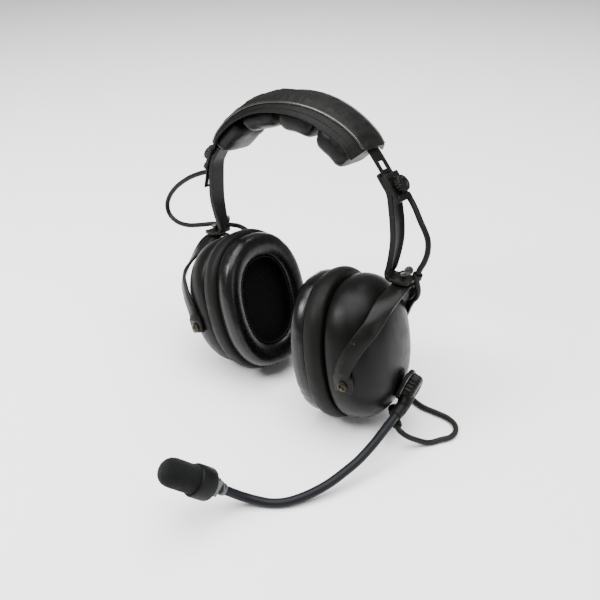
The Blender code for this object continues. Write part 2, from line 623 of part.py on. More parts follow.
def make_lead(side, cup, cup_frame, inside):
    start = cup_frame @ (Vector(GLAND_FOOT) * MM) / MM
    end = Vector(GLAND_END)
    along = (end - start).normalized()
    length = (end - start).length
    turned("lead_gland", ((0, length), (2.9, length), (3.4, length - 0.8), (3.4, length - 3.2), (2.7, length - 4),
                          (3.2, length * 0.45), (4.2, 1.5), (4.3, 0.0), (0, 0.0)), 16, RUBBER, cup,
           matrix=side.local(aim(start, along), cup))
    block("terminal_board", (1.6, 26.0, 11.0), (21.0, 0.0, 30.0), BOARD, cup, bevel=0, matrix=inside)

    rest_height = CORD_R + 0.4
    route = [end + along * 2.0, *(Vector(p) for p in CORD_FALL)] + [on_table(x, y, rest_height) for x, y in CORD_ROUTE]
    centre = on_table(*COIL_CENTRE, 0.2)
    level = Matrix.Translation(centre * MM) @ STANCE.inverted()
    entry = level @ (mm(COIL_MID_R + COIL_HALF_W + CORD_R + 0.4, -3.0, CORD_R + 0.2)) / MM
    tube("lead_cord", side.points(smooth_path(route + [entry], 34), cup), CORD_R, RUBBER, cup)

    inner, outer = COIL_MID_R - COIL_HALF_W, COIL_MID_R + COIL_HALF_W
    turned("lead_coil", ((inner, COIL_HEIGHT), (outer - 1.5, COIL_HEIGHT), (outer, COIL_HEIGHT - 1.5), (outer, 1.5),
                         (outer - 1.5, 0), (inner, 0), (inner, COIL_HEIGHT)), 28, RUBBER, cup,
           matrix=side.local(level, cup))
    lying = level @ Matrix.Translation(mm(*PLUG_SPOT)) @ Matrix.Rotation(math.radians(-90), 4, "Y")
    turned("plug_sleeve", ((0, 6.0), (7.0, 6.0), (7.6, 5.0), (7.6, -14.0), (6.6, -17.0), (4.4, -19.0), (3.6, -29.0),
                           (0, -29.0)), 16, RUBBER, cup, matrix=side.local(lying, cup))
    turned("plug_pin", ((0, 36.0), (1.6, 35.0), (3.2, 32.5), (2.6, 30.0), (3.5, 28.5), (3.5, 9.0), (5.4, 8.8),
                        (5.4, 6.4), (0, 6.4)), 12, STEEL, cup, matrix=side.local(lying, cup))


root = empty("headset", Matrix.Identity(4))
root.matrix_world = Matrix.Translation(mm(*STANCE_SHIFT)) @ STANCE
make_headband(root)
for side_name, side_sign in SIDES.items():
    spot = CUPS[side_name]
    side = Side(side_name, side_sign, root)
    slider, tab, bore = make_arm(side, spot["travel"], spot["splay"])
    cup_frame = cup_matrix(spot)
    pivot_frame = cup_frame @ Matrix.Translation(mm(PIVOT[0], 0, PIVOT[2]))
    level = (Matrix.Translation(pivot_frame.translation)
             @ Matrix.Rotation(math.radians(spot["yaw"]), 4, "Z")
             @ Matrix.Rotation(math.radians(spot["yoke_roll"]), 4, "Y"))
    yoke = make_yoke(side, slider, tab, level, bore)
    cup, inside = make_cup(side, yoke, cup_frame)
    make_cables(side, slider, yoke)
    if side_name == "near":
        make_boom(side, cup, cup_frame)
        make_lead(side, cup, cup_frame, inside)
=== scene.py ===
"""Looks of the radio communication headset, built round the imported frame.

Headset frame: X runs from ear to ear (+X is the cup with the microphone), -Y is the front, +Z is up.
Cup frame: X points away from the head, Y to the back, Z up. Lengths are millimetres until a mesh is made.
"""

import math

import bmesh
import bpy
from mathutils import Matrix, Vector, noise


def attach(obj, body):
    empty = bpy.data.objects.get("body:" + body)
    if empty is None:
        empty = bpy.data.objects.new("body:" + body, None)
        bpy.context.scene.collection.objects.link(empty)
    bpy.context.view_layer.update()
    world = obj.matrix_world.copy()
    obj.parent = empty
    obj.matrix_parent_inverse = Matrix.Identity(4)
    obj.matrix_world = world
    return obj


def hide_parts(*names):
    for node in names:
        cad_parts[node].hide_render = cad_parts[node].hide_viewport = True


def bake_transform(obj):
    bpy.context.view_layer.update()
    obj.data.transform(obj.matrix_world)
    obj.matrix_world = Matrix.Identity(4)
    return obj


MM = 0.001

# Stance on the table, the same as in the CAD
STANCE = Matrix.Rotation(math.radians(-6.273), 4, "X") @ Matrix.Rotation(math.radians(-12.631), 4, "Y")
STANCE_SHIFT = (10.34, 73.96, 124.0)

# Headband. PAD_EXTRA is how much deeper each crown cushion is than its CAD solid
BAND_R = 86.4
BAND_HALF_ANGLE = math.radians(58)
STRAP_TAIL = 26.0
FAR_TAIL_LEAN = math.radians(-10)
COVER_R = 90.0
COVER_SHIFT = math.radians(3.5)
COVER_HALF_ANGLE = math.radians(50)
PAD_TOP_R = 84.4
PAD_T = 16.5
PAD_EXTRA = (0.0, 1.0, 3.0, 4.5)
PAD_HALF_W = 17.8

# Sliding arms and yokes. The arm's profile lists X and Z from the middle of the clamp, and the width along Y.
# The yoke's leg is measured from the pivot
ARM_T = 2.6
ARM_PROFILE = (
    (-9.4, 9.2, 10.0), (-8.8, 8.3, 12.0), (-5.4, 2.8, 12.5), (-2.9, -1.4, 12.5), (-1.9, -5.5, 12.5),
    (-1.5, -12.0, 12.5), (-1.0, -22.5, 13.0), (-1.6, -33.5, 12.5), (-4.2, -44.5, 11.0), (-7.0, -53.0, 9.5),
    (-8.2, -56.5, 10.0), (-7.2, -59.0, 12.5), (-4.0, -60.0, 15.0), (2.1, -60.8, 15.5), (7.0, -61.6, 13.5),
    (8.4, -61.9, 10.0),
)
SWIVEL = (2.1, 0.0, -59.4)
SWIVEL_AXIS = (0.13, 0.0, 1.0)
HUB_DROP = 4.7
YOKE_W = 13.0
YOKE_T = 2.4
YOKE_LEG = ((16.5, -9.5, 38), (8.5, -1.6, 26), (0.6, 2.0, 11), (0, 2.0, 0), (-0.4, 2.0, -4.5))

# Ear cups. Ovals are half sizes along Y and Z, the dome's lines are X and share of DOME_HALF, and each pleat
# in a seal is its angle, depth and width
SEAL_HALF = (39.9, 51.8)
SEAL_HOLE = (24.0, 34.0)
FLANGE_HALF = (43.1, 54.9)
FLANGE_HOLE = (30.0, 40.0)
DOME_HALF = (41.0, 51.5)
OVAL_POWER = 2.3
PIVOT = (23.8, 40.2, -8.8)
DOME_OUTSIDE = ((46.2, 0.08), (45.6, 0.26), (43.8, 0.47), (40.6, 0.66), (36.2, 0.81), (30.5, 0.92),
                (24.0, 0.98), (17.0, 1.0), (11.5, 0.985), (9.4, 0.955), (8.4, 0.90))
DOME_INSIDE = ((8.4, 0.85), (11.0, 0.92), (20.0, 0.93), (29.0, 0.85), (35.5, 0.70), (40.0, 0.50),
               (42.8, 0.26), (43.4, 0.08))
SEAL_PLEATS = {
    "near": ((math.radians(214), 0.8, 0.05), (math.radians(205), 0.6, 0.04), (math.radians(224), 0.5, 0.05),
             (math.radians(160), 0.35, 0.06), (math.radians(35), 0.4, 0.06), (math.radians(318), 0.4, 0.05)),
    "far": ((math.radians(48), 0.5, 0.06), (math.radians(130), 0.4, 0.05), (math.radians(196), 0.45, 0.05),
            (math.radians(262), 0.4, 0.06), (math.radians(330), 0.4, 0.05)),
}
CUPS = {
    "near": dict(centre=(40.8, -12.0, -83.1), yaw=5.3, roll=-1.2, yoke_roll=0.0, travel=21.0, splay=0.0),
    "far": dict(centre=(40.8, -12.0, -62.7), yaw=4.4, roll=8.3, yoke_roll=8.5, travel=0.5,
                splay=math.radians(10)),
}

# Boom and microphone
BOOM_PIVOT = (43.7, 4.0, -27.0)
BOOM_TILT = math.radians(24)
BOOM_R = 3.0
BOOM_KNOB_R = 10.3
BOOM_ROUTE = ((89.6, -15.5, -121.0), (89.0, -27.0, -124.4), (87.4, -39.3, -129.4), (85.5, -49.5, -134.0),
              (82.5, -62.0, -138.8), (78.9, -72.5, -142.1), (74.7, -83.7, -145.1), (69.7, -93.4, -147.2),
              (64.0, -101.9, -148.8), (57.6, -109.3, -149.6), (50.0, -115.3, -149.1), (42.6, -120.6, -146.2),
              (37.4, -124.8, -143.0), (33.6, -129.4, -138.6), (31.0, -133.4, -134.4))
MIC_ALONG = (-0.215, -0.70, 0.685)

# Cables beside the arms
CABLE_R = 1.9
LOOP_ROUTES = {
    "near": dict(loop=((91.8, 3.4, 21.6), (93.9, 3.3, 18.2), (96.8, 2.4, 13.6), (99.9, 1.2, 7.8),
                       (103.7, 0.2, 1.0), (105.6, 0.0, -5.0), (105.0, 0.0, -12.5), (102.4, 0.0, -19.2),
                       (98.6, 0.3, -25.2), (96.4, 0.8, -30.0), (95.6, 1.4, -34.0)),
                 tail=((95.5, 1.7, -34.7), (95.0, 4.0, -41.0), (92.0, 7.0, -47.0), (87.0, 9.4, -52.0)),
                 screw=(93.1, -3.8, -24.8)),
    "far": dict(loop=((80.2, 2.0, 39.4), (83.6, 1.9, 35.2), (88.0, 1.6, 33.0), (94.0, 1.0, 32.0),
                      (108.0, 0.0, 28.0), (124.0, -0.5, 20.5), (135.0, -0.8, 12.0), (140.2, -1.0, 3.5),
                      (138.8, -1.0, -4.5), (130.5, -1.0, -10.2), (119.0, 0.0, -12.4), (107.0, 3.0, -12.0),
                      (97.0, 7.5, -11.5), (88.0, 11.4, -12.0), (81.0, 12.6, -12.4)),
                tail=((80.3, 12.7, -12.4), (72.0, 13.0, -13.0), (64.0, 12.0, -15.0), (58.5, 11.0, -17.4)),
                screw=(81.5, 10.0, -6.8)),
}

# Lead. CORD_FALL is where it drops to the table and CORD_ROUTE where it lies. COIL_ENTRY and PLUG_SPOT are
# measured from the coil's centre
CORD_R = 2.0
GLAND_FOOT = (36.2, 1.4, -47.6)
GLAND_END = (88.0, -20.5, -134.3)
CORD_FALL = ((94.2, -21.2, -139.0), (98.4, -16.4, -143.8))
CORD_ROUTE = ((104.6, -7.8), (110.2, 0.2), (114.2, 6.2), (115.0, 13.0), (111.6, 19.4), (104.0, 22.4),
              (95.0, 22.0), (85.0, 21.4), (75.0, 24.0), (64.0, 30.0), (54.0, 37.0), (47.0, 45.5))
COIL_CENTRE = (15.0, 58.0)
COIL_MID_R = 22.0
COIL_PITCH = 2 * CORD_R + 0.05
COIL_STEPS = 40
COIL_ENTRY = (31.4, -14.0)
PLUG_SPOT = (-51.0, 28.2, 7.8)

CAMERA_PLACE = (0.27027, -0.25045, 0.33591)
CAMERA_AIM = (0.01926, 0.0672, 0.0625)
CAMERA_LENS = 38.41

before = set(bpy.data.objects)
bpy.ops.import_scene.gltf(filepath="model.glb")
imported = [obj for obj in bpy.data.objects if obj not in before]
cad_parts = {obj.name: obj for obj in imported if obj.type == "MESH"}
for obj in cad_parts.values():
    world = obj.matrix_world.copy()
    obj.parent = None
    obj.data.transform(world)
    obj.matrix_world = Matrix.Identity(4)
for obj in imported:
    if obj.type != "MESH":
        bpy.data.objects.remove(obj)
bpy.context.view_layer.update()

HEADSET = Matrix.Translation(Vector(STANCE_SHIFT)) @ STANCE
SIDES = {"near": HEADSET, "far": HEADSET @ Matrix.Diagonal((-1, 1, 1, 1))}


# ---------------------------------------------------------------- camera, floor and light

def make_camera():
    data = bpy.data.cameras.new("camera")
    data.lens = CAMERA_LENS
    data.sensor_width = 36.0
    data.clip_start = 0.01
    camera = bpy.data.objects.new("camera", data)
    bpy.context.scene.collection.objects.link(camera)
    camera.location = CAMERA_PLACE
    look = Vector(CAMERA_AIM) - Vector(CAMERA_PLACE)
    camera.rotation_mode = "QUATERNION"
    camera.rotation_quaternion = look.to_track_quat("-Z", "Y")
    bpy.context.scene.camera = camera


def area_light(name, place, target, size, power):
    data = bpy.data.lights.new(name, "AREA")
    data.shape = "RECTANGLE"
    data.size, data.size_y = size
    data.energy = power
    lamp = bpy.data.objects.new(name, data)
    bpy.context.scene.collection.objects.link(lamp)
    lamp.location = place
    lamp.rotation_mode = "QUATERNION"
    lamp.rotation_quaternion = (Vector(target) - Vector(place)).to_track_quat("-Z", "Y")


def make_stage():
    bm = bmesh.new()
    bmesh.ops.create_grid(bm, x_segments=1, y_segments=1, size=4.0)
    mesh = bpy.data.meshes.new("floor")
    bm.to_mesh(mesh)
    bm.free()
    floor = bpy.data.objects.new("floor", mesh)
    bpy.context.scene.collection.objects.link(floor)
    pale = bpy.data.materials.new("pale_floor")
    pale.use_nodes = True
    shader = pale.node_tree.nodes["Principled BSDF"]
    shader.inputs["Base Color"].default_value = (0.93, 0.93, 0.925, 1)
    shader.inputs["Roughness"].default_value = 0.85
    shader.inputs["Specular IOR Level"].default_value = 0.2
    mesh.materials.append(pale)
    world = bpy.data.worlds.new("studio")
    world.use_nodes = True
    sky = world.node_tree.nodes["Background"]
    sky.inputs["Color"].default_value = (1.0, 1.0, 1.0, 1)
    sky.inputs["Strength"].default_value = 0.36
    bpy.context.scene.world = world
    area_light("key_left", (-0.45, -0.65, 0.85), (0.0, 0.0, 0.08), (0.4, 0.4), 15.0)
    area_light("fill_right", (0.9, 0.1, 0.35), (0.05, 0.05, 0.1), (0.3, 0.6), 2.0)
    area_light("overhead", (0.05, 0.1, 1.5), (0.02, 0.05, 0.0), (1.7, 1.7), 78.0)


# ---------------------------------------------------------------- materials

def material(name, colour, roughness, metallic=0.0, coat=0.0, grain=None, waves=None, mottle=0.15,
             rough_var=0.06, wear=None, sheen=0.0, gloss=0.12):
    """A procedural finish with mottled colour and uneven roughness.

    grain and waves are bumps, each a scale per metre and a height in millimetres. wear is a colour and an
    amount.
    """
    made = bpy.data.materials.new(name)
    made.use_nodes = True
    tree = made.node_tree
    shader = tree.nodes["Principled BSDF"]
    shader.inputs["Metallic"].default_value = metallic
    shader.inputs["Coat Weight"].default_value = coat
    shader.inputs["Coat Roughness"].default_value = 0.25
    shader.inputs["Sheen Weight"].default_value = sheen
    shader.inputs["Specular IOR Level"].default_value = gloss
    place = tree.nodes.new("ShaderNodeTexCoord")

    def noise_node(scale, detail=3.0):
        node = tree.nodes.new("ShaderNodeTexNoise")
        node.inputs["Scale"].default_value = scale
        node.inputs["Detail"].default_value = detail
        tree.links.new(place.outputs["Object"], node.inputs["Vector"])
        return node

    patches = noise_node(55.0, 5.0)
    ramp = tree.nodes.new("ShaderNodeValToRGB")
    ramp.color_ramp.elements[0].position = 0.3
    ramp.color_ramp.elements[1].position = 0.72
    ramp.color_ramp.elements[0].color = (*(c * (1 - mottle) for c in colour), 1)
    ramp.color_ramp.elements[1].color = (*(c * (1 + mottle) for c in colour), 1)
    tree.links.new(patches.outputs["Fac"], ramp.inputs["Fac"])
    colour_out = ramp.outputs["Color"]
    if wear:
        wear_colour, amount = wear
        scuffs = noise_node(420.0, 6.0)
        mask = tree.nodes.new("ShaderNodeMapRange")
        mask.inputs["From Min"].default_value = 0.66
        mask.inputs["From Max"].default_value = 0.74
        mask.inputs["To Max"].default_value = amount
        tree.links.new(scuffs.outputs["Fac"], mask.inputs["Value"])
        mix = tree.nodes.new("ShaderNodeMix")
        mix.data_type = "RGBA"
        mix.inputs["B"].default_value = (*wear_colour, 1)
        tree.links.new(mask.outputs["Result"], mix.inputs["Factor"])
        tree.links.new(colour_out, mix.inputs["A"])
        colour_out = mix.outputs["Result"]
    tree.links.new(colour_out, shader.inputs["Base Color"])

    uneven = noise_node(160.0, 4.0)
    spread = tree.nodes.new("ShaderNodeMapRange")
    spread.inputs["From Min"].default_value = 0.3
    spread.inputs["From Max"].default_value = 0.7
    spread.inputs["To Min"].default_value = max(roughness - rough_var, 0.02)
    spread.inputs["To Max"].default_value = min(roughness + rough_var, 1.0)
    tree.links.new(uneven.outputs["Fac"], spread.inputs["Value"])
    tree.links.new(spread.outputs["Result"], shader.inputs["Roughness"])

    previous = None
    for kind, entry in (("cells", grain), ("noise", waves)):
        if not entry:
            continue
        scale, height = entry
        if kind == "cells":
            texture = tree.nodes.new("ShaderNodeTexVoronoi")
            texture.inputs["Scale"].default_value = scale
            tree.links.new(place.outputs["Object"], texture.inputs["Vector"])
            source = texture.outputs["Distance"]
        else:
            source = noise_node(scale, 4.0).outputs["Fac"]
        bump = tree.nodes.new("ShaderNodeBump")
        bump.inputs["Strength"].default_value = 1.0
        bump.inputs["Distance"].default_value = height * MM
        tree.links.new(source, bump.inputs["Height"])
        if previous is not None:
            tree.links.new(previous.outputs["Normal"], bump.inputs["Normal"])
        previous = bump
    if previous is not None:
        tree.links.new(previous.outputs["Normal"], shader.inputs["Normal"])
    return made


LEATHER = material("cover_leatherette", (0.0030, 0.0033, 0.0027), 0.50, grain=(1500.0, 0.10),
                   waves=(150.0, 0.35), mottle=0.2)
WELT = material("welt_vinyl", (0.0100, 0.0105, 0.0095), 0.26, waves=(300.0, 0.05), gloss=0.6)
PAD_VINYL = material("pad_vinyl", (0.0038, 0.0041, 0.0036), 0.42, grain=(1700.0, 0.05), waves=(120.0, 0.3))
SEAL_VINYL = material("seal_vinyl", (0.0020, 0.0022, 0.0021), 0.28, coat=0.06, grain=(1800.0, 0.03),
                      waves=(90.0, 0.25), rough_var=0.05, gloss=0.24)
SHELL = material("moulded_shell", (0.0020, 0.0025, 0.0019), 0.38, grain=(2600.0, 0.025), waves=(700.0, 0.02))
RIM = material("moulded_rim", (0.0026, 0.0031, 0.0024), 0.52, grain=(2200.0, 0.04), waves=(600.0, 0.03))
PAINT = material("black_paint", (0.0042, 0.0046, 0.0040), 0.36, waves=(900.0, 0.02),
                 wear=((0.16, 0.155, 0.14), 0.3))
STEEL = material("bright_steel", (0.085, 0.085, 0.08), 0.36, metallic=1.0, waves=(1200.0, 0.02), mottle=0.1)
BRASS = material("dull_brass", (0.035, 0.030, 0.022), 0.38, metallic=1.0, waves=(1200.0, 0.02), mottle=0.25)
RUBBER = material("cable_rubber", (0.0045, 0.0046, 0.0044), 0.48, waves=(500.0, 0.05))
CORD = material("cord_jacket", (0.0095, 0.0098, 0.0082), 0.45, waves=(500.0, 0.05))
SHEATH = material("boom_sheath", (0.0070, 0.0076, 0.0092), 0.44, waves=(420.0, 0.06))
GREY_METAL = material("grey_metal", (0.085, 0.088, 0.092), 0.40, metallic=0.9, waves=(900.0, 0.02))
WINDSCREEN = material("windscreen_foam", (0.0024, 0.0026, 0.0028), 0.9, grain=(1300.0, 0.35),
                      waves=(500.0, 0.2), sheen=0.04)
COLLAR = material("mic_collar", (0.0034, 0.0036, 0.0038), 0.5, waves=(600.0, 0.05))
LINER = material("liner_foam", (0.0016, 0.0018, 0.0016), 0.95, grain=(1100.0, 0.4), waves=(400.0, 0.2))
BOARD = material("circuit_board", (0.02, 0.09, 0.04), 0.5, waves=(900.0, 0.02))
THREAD = material("stitching", (0.0120, 0.0125, 0.0115), 0.7, waves=(2600.0, 0.05))


# ---------------------------------------------------------------- mesh helpers

def add(name, bm, finish, matrix, body=None, replaces=(), sharp=40):
    """Makes a piece, in metres on the table, from a bmesh in millimetres and the matrix that places it."""
    bmesh.ops.transform(bm, matrix=Matrix.Scale(MM, 4) @ matrix, verts=bm.verts)
    bmesh.ops.recalc_face_normals(bm, faces=bm.faces)
    mesh = bpy.data.meshes.new(name)
    bm.to_mesh(mesh)
    bm.free()
    mesh.shade_smooth()
    mesh.set_sharp_from_angle(angle=math.radians(sharp))
    obj = bpy.data.objects.new(name, mesh)
    bpy.context.scene.collection.objects.link(obj)
    mesh.materials.append(finish)
    if replaces:
        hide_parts(*replaces)
    if body:
        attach(obj, body)
    return obj


def bevel(obj, width, segments=2, angle=35):
    edge = obj.modifiers.new("Edge", "BEVEL")
    edge.width = width * MM
    edge.segments = segments
    edge.limit_method = "ANGLE"
    edge.angle_limit = math.radians(angle)


def subdivide(obj):
    smooth = obj.modifiers.new("Smooth", "SUBSURF")
    smooth.levels = smooth.render_levels = 1


def spline(points, count):
    """Reads a smooth curve through the points at even steps along it."""
    dense = []
    ends = [2 * Vector(points[0]) - Vector(points[1])] + [Vector(p) for p in points]
    ends.append(2 * Vector(points[-1]) - Vector(points[-2]))
    for a, b, c, d in zip(ends, ends[1:], ends[2:], ends[3:]):
        for k in range(24):
            t = k / 24
            dense.append(0.5 * (2 * b + (c - a) * t + (2 * a - 5 * b + 4 * c - d) * t ** 2
                                + (3 * b - a - 3 * c + d) * t ** 3))
    dense.append(Vector(points[-1]))
    lengths = [0.0]
    for a, b in zip(dense, dense[1:]):
        lengths.append(lengths[-1] + (b - a).length)
    path, i = [], 0
    for k in range(count):
        target = lengths[-1] * k / (count - 1)
        while i < len(lengths) - 2 and lengths[i + 1] < target:
            i += 1
        share = (target - lengths[i]) / max(lengths[i + 1] - lengths[i], 1e-9)
        path.append(dense[i].lerp(dense[i + 1], min(max(share, 0.0), 1.0)))
    return path


def spline2(points, count):
    """The same for points in a plane."""
    return [(p.x, p.y) for p in spline([(a, b, 0) for a, b in points], count)]


def loft_into(bm, rings, closed=False, caps=True):
    """Joins rings of points with quads. closed also joins the last ring to the first."""
    loops = [[bm.verts.new(Vector(p)) for p in ring] for ring in rings]
    count = len(loops[0])
    pairs = list(zip(loops, loops[1:]))
    if closed:
        pairs.append((loops[-1], loops[0]))
    for low, high in pairs:
        for i in range(count):
            j = (i + 1) % count
            bm.faces.new((low[i], low[j], high[j], high[i]))
    if not closed and caps:
        bm.faces.new(loops[0])
        bm.faces.new(loops[-1])
    return bm


def turn_into(bm, profile, steps, matrix=Matrix.Identity(4)):
    """Adds a solid turned about Z from (radius, height) points that end on the axis, or that close on
    themselves."""
    def ring(r, z):
        angles = (2 * math.pi * k / steps for k in range(steps))
        return [matrix @ Vector((r * math.cos(a), r * math.sin(a), z)) for a in angles]

    on_axis = profile[0][0] < 1e-6
    return loft_into(bm, [ring(max(r, 0.02), z) for r, z in profile], closed=not on_axis, caps=on_axis)


def turned(name, profile, steps, finish, matrix, body, replaces=(), sharp=35):
    bm = turn_into(bmesh.new(), profile, steps)
    return add(name, bm, finish, matrix, body, replaces, sharp)


def tube_into(bm, path, radius, sides=16):
    """Adds a capped tube along points, with rings carried along without twist."""
    path = [Vector(p) for p in path]
    rings = []
    side = None
    for k, p in enumerate(path):
        tangent = (path[min(k + 1, len(path) - 1)] - path[max(k - 1, 0)]).normalized()
        if side is None:
            side = tangent.orthogonal().normalized()
        side = (side - tangent * side.dot(tangent)).normalized()
        other = tangent.cross(side)
        r = radius(k / (len(path) - 1)) if callable(radius) else radius
        rings.append([p + side * (r * math.cos(2 * math.pi * i / sides))
                      + other * (r * math.sin(2 * math.pi * i / sides)) for i in range(sides)])
    return loft_into(bm, rings)


def tube(name, path, radius, finish, matrix, body, replaces=(), sides=16):
    return add(name, tube_into(bmesh.new(), path, radius, sides), finish, matrix, body, replaces, 60)


def box_into(bm, size, centre):
    x, y, z = (s / 2 for s in size)
    cx, cy, cz = centre
    corners = ((-1, -1), (1, -1), (1, 1), (-1, 1))
    loft_into(bm, [[(cx + a * x, cy + b * y, cz + h * z) for a, b in corners] for h in (-1, 1)])


def oval_point(angle, half):
    c, s = math.cos(angle), math.sin(angle)
    return (half[0] * math.copysign(abs(c) ** (2 / OVAL_POWER), c),
            half[1] * math.copysign(abs(s) ** (2 / OVAL_POWER), s))


def oval_angles(steps):
    """Angles that space points evenly round the seal's oval."""
    fine_steps = 2880
    fine = [oval_point(2 * math.pi * k / fine_steps, SEAL_HALF) for k in range(fine_steps + 1)]
    lengths = [0.0]
    for a, b in zip(fine, fine[1:]):
        lengths.append(lengths[-1] + math.dist(a, b))
    angles, i = [], 0
    for k in range(steps):
        while lengths[i + 1] < lengths[-1] * k / steps:
            i += 1
        angles.append(2 * math.pi * i / fine_steps)
    return angles


ROUND = oval_angles(120)


def aim(origin, direction, hint=(0, 0, 1)):
    """A matrix, in millimetres, whose Z axis points along direction."""
    z = Vector(direction).normalized()
    x = Vector(hint).cross(z)
    if x.length < 1e-6:
        x = Vector((1, 0, 0))
    x.normalize()
    y = z.cross(x)
    return Matrix.Translation(Vector(origin)) @ Matrix((x, y, z)).transposed().to_4x4()


def cup_matrix(spot):
    return (Matrix.Translation(Vector(spot["centre"])) @ Matrix.Rotation(math.radians(spot["yaw"]), 4, "Z")
            @ Matrix.Rotation(math.radians(spot["roll"]), 4, "Y"))


def ease(value, start, end):
    """0 before start and 1 after end, with a smooth step between."""
    t = min(max((value - start) / (end - start), 0.0), 1.0)
    return t * t * (3 - 2 * t)


def wobble(p, scale, seed):
    return noise.noise(Vector(p) * scale + Vector((seed * 7.3, seed * 3.1, seed * 5.7)))


def puff(obj, pressure, voxel, cap, frames=16):
    """Fills a soft piece out with a short cloth simulation, keeping each point within cap millimetres."""
    mesh = obj.data
    scene = bpy.context.scene
    remesh = obj.modifiers.new("Remesh", "REMESH")
    remesh.mode = "VOXEL"
    remesh.voxel_size = voxel * MM
    graph = bpy.context.evaluated_depsgraph_get()
    dense = bpy.data.meshes.new_from_object(obj.evaluated_get(graph))
    obj.modifiers.clear()
    obj.data = dense
    start = [v.co.copy() for v in dense.vertices]
    cloth = obj.modifiers.new("Cloth", "CLOTH")
    settings = cloth.settings
    settings.quality = 6
    settings.mass = 0.15
    settings.tension_stiffness = 12
    settings.compression_stiffness = 12
    settings.bending_stiffness = 0.6
    settings.use_pressure = True
    settings.uniform_pressure_force = pressure
    settings.effector_weights.gravity = 0.0
    cloth.collision_settings.use_collision = False
    cloth.point_cache.frame_start = 1
    cloth.point_cache.frame_end = frames
    for step in range(1, frames + 1):
        scene.frame_set(step)
    graph = bpy.context.evaluated_depsgraph_get()
    settled = bpy.data.meshes.new_from_object(obj.evaluated_get(graph))
    obj.modifiers.clear()
    obj.data = settled
    scene.frame_set(1)
    for v, rest in zip(settled.vertices, start):
        move = v.co - rest
        if move.length > cap * MM:
            v.co = rest + move.normalized() * cap * MM
    settled.shade_smooth()
    for old in (mesh, dense):
        bpy.data.meshes.remove(old)


# ---------------------------------------------------------------- headband

def band_point(angle, radius, y):
    """A point on the headband's arch, which runs straight on past BAND_HALF_ANGLE."""
    bent = max(-BAND_HALF_ANGLE, min(BAND_HALF_ANGLE, angle))
    run = (abs(angle) - abs(bent)) * BAND_R * math.copysign(1, angle)
    return Vector((radius * math.sin(bent) + run * math.cos(bent), y,
                   radius * math.cos(bent) - run * math.sin(bent)))


def make_strap():
    """A spring steel strap: two rails with rungs between slots at both ends."""
    reach = BAND_HALF_ANGLE + STRAP_TAIL / BAND_R
    stations = set()
    slots = []
    for side in (-1, 1):
        for k in range(3):
            middle = side * (BAND_HALF_ANGLE + (4.5 + 8.4 * k) / BAND_R)
            slots.append((middle - 2.9 / BAND_R, middle + 2.9 / BAND_R))
    for a, b in slots:
        stations.update((a, b))
    base = [-reach + 2 * reach * k / 90 for k in range(91)]
    for angle in base:
        if all(abs(angle - s) > 0.6 / BAND_R for s in stations) or abs(abs(angle) - reach) < 1e-9:
            stations.add(angle)
    stations = sorted(stations)
    across = (-6.0, -2.6, 2.6, 6.0)
    bm = bmesh.new()
    knee = -BAND_HALF_ANGLE - 10.0 / BAND_R
    hinge = band_point(knee, BAND_R, 0)
    grid = []
    for angle in stations:
        row = [band_point(angle, BAND_R, y) for y in across]
        if angle < knee:
            lean = Matrix.Rotation(FAR_TAIL_LEAN * ease(-angle, -knee, -knee + 6.0 / BAND_R), 4, "Y")
            row = [hinge + lean @ (p - hinge) for p in row]
        grid.append([bm.verts.new(p) for p in row])
    for k in range(len(stations) - 1):
        middle = (stations[k] + stations[k + 1]) / 2
        open_here = any(a < middle < b for a, b in slots)
        for c in range(3):
            if c == 1 and open_here:
                continue
            bm.faces.new((grid[k][c], grid[k][c + 1], grid[k + 1][c + 1], grid[k + 1][c]))
    strap = add("strap", bm, PAINT, HEADSET, "headband", ("headband_strap",))
    thick = strap.modifiers.new("Thick", "SOLIDIFY")
    thick.thickness = 1.2 * MM
    thick.offset = 0.0
    bevel(strap, 0.3)


def cover_half(share, hand):
    """One half of the cover's outer and inner line, from the middle to the hem, as (across, out)."""
    crown = 15.5 - 2.5 * share ** 2
    sag = 5.0 * (1 - ease(share, -0.1, 0.95)) if hand < 0 else 1.0
    reach, drop = 5.9, 7.2
    if hand < 0:
        reach, drop = 4.6 + 1.3 * ease(share, -0.2, 0.9), 5.0 + 2.2 * ease(share, -0.2, 0.9)
    hem = crown + reach
    tuck = 1.1 * ease(abs(share), 0.86, 1.0)
    outer = ((0.0, 1.5 - 0.15 * sag), (crown * 0.5, 1.3 - 0.45 * sag), (crown - 3.0, 0.9 - 0.82 * sag),
             (crown - 0.9, 0.4 - 0.95 * sag), (crown + 0.2, -0.9 - sag), (crown + 1.5, -2.4 - sag),
             (hem - 1.9, -0.72 * drop - sag), (hem - 0.5, -0.94 * drop - sag), (hem, -drop - 0.3 - sag))
    inner = ((hem - 0.6, -drop - 1.1 - sag), (hem - 2.2, -drop - 0.4 - sag), (crown + 0.4, -4.0 - sag),
             (crown - 1.6, -2.9 - 0.9 * sag), (crown * 0.5, -2.8 - 0.45 * sag), (0.0, -2.6 - 0.15 * sag))
    return crown, hem, [(y, r - tuck) for y, r in outer], inner


def cover_angle(share):
    return COVER_SHIFT + COVER_HALF_ANGLE * share


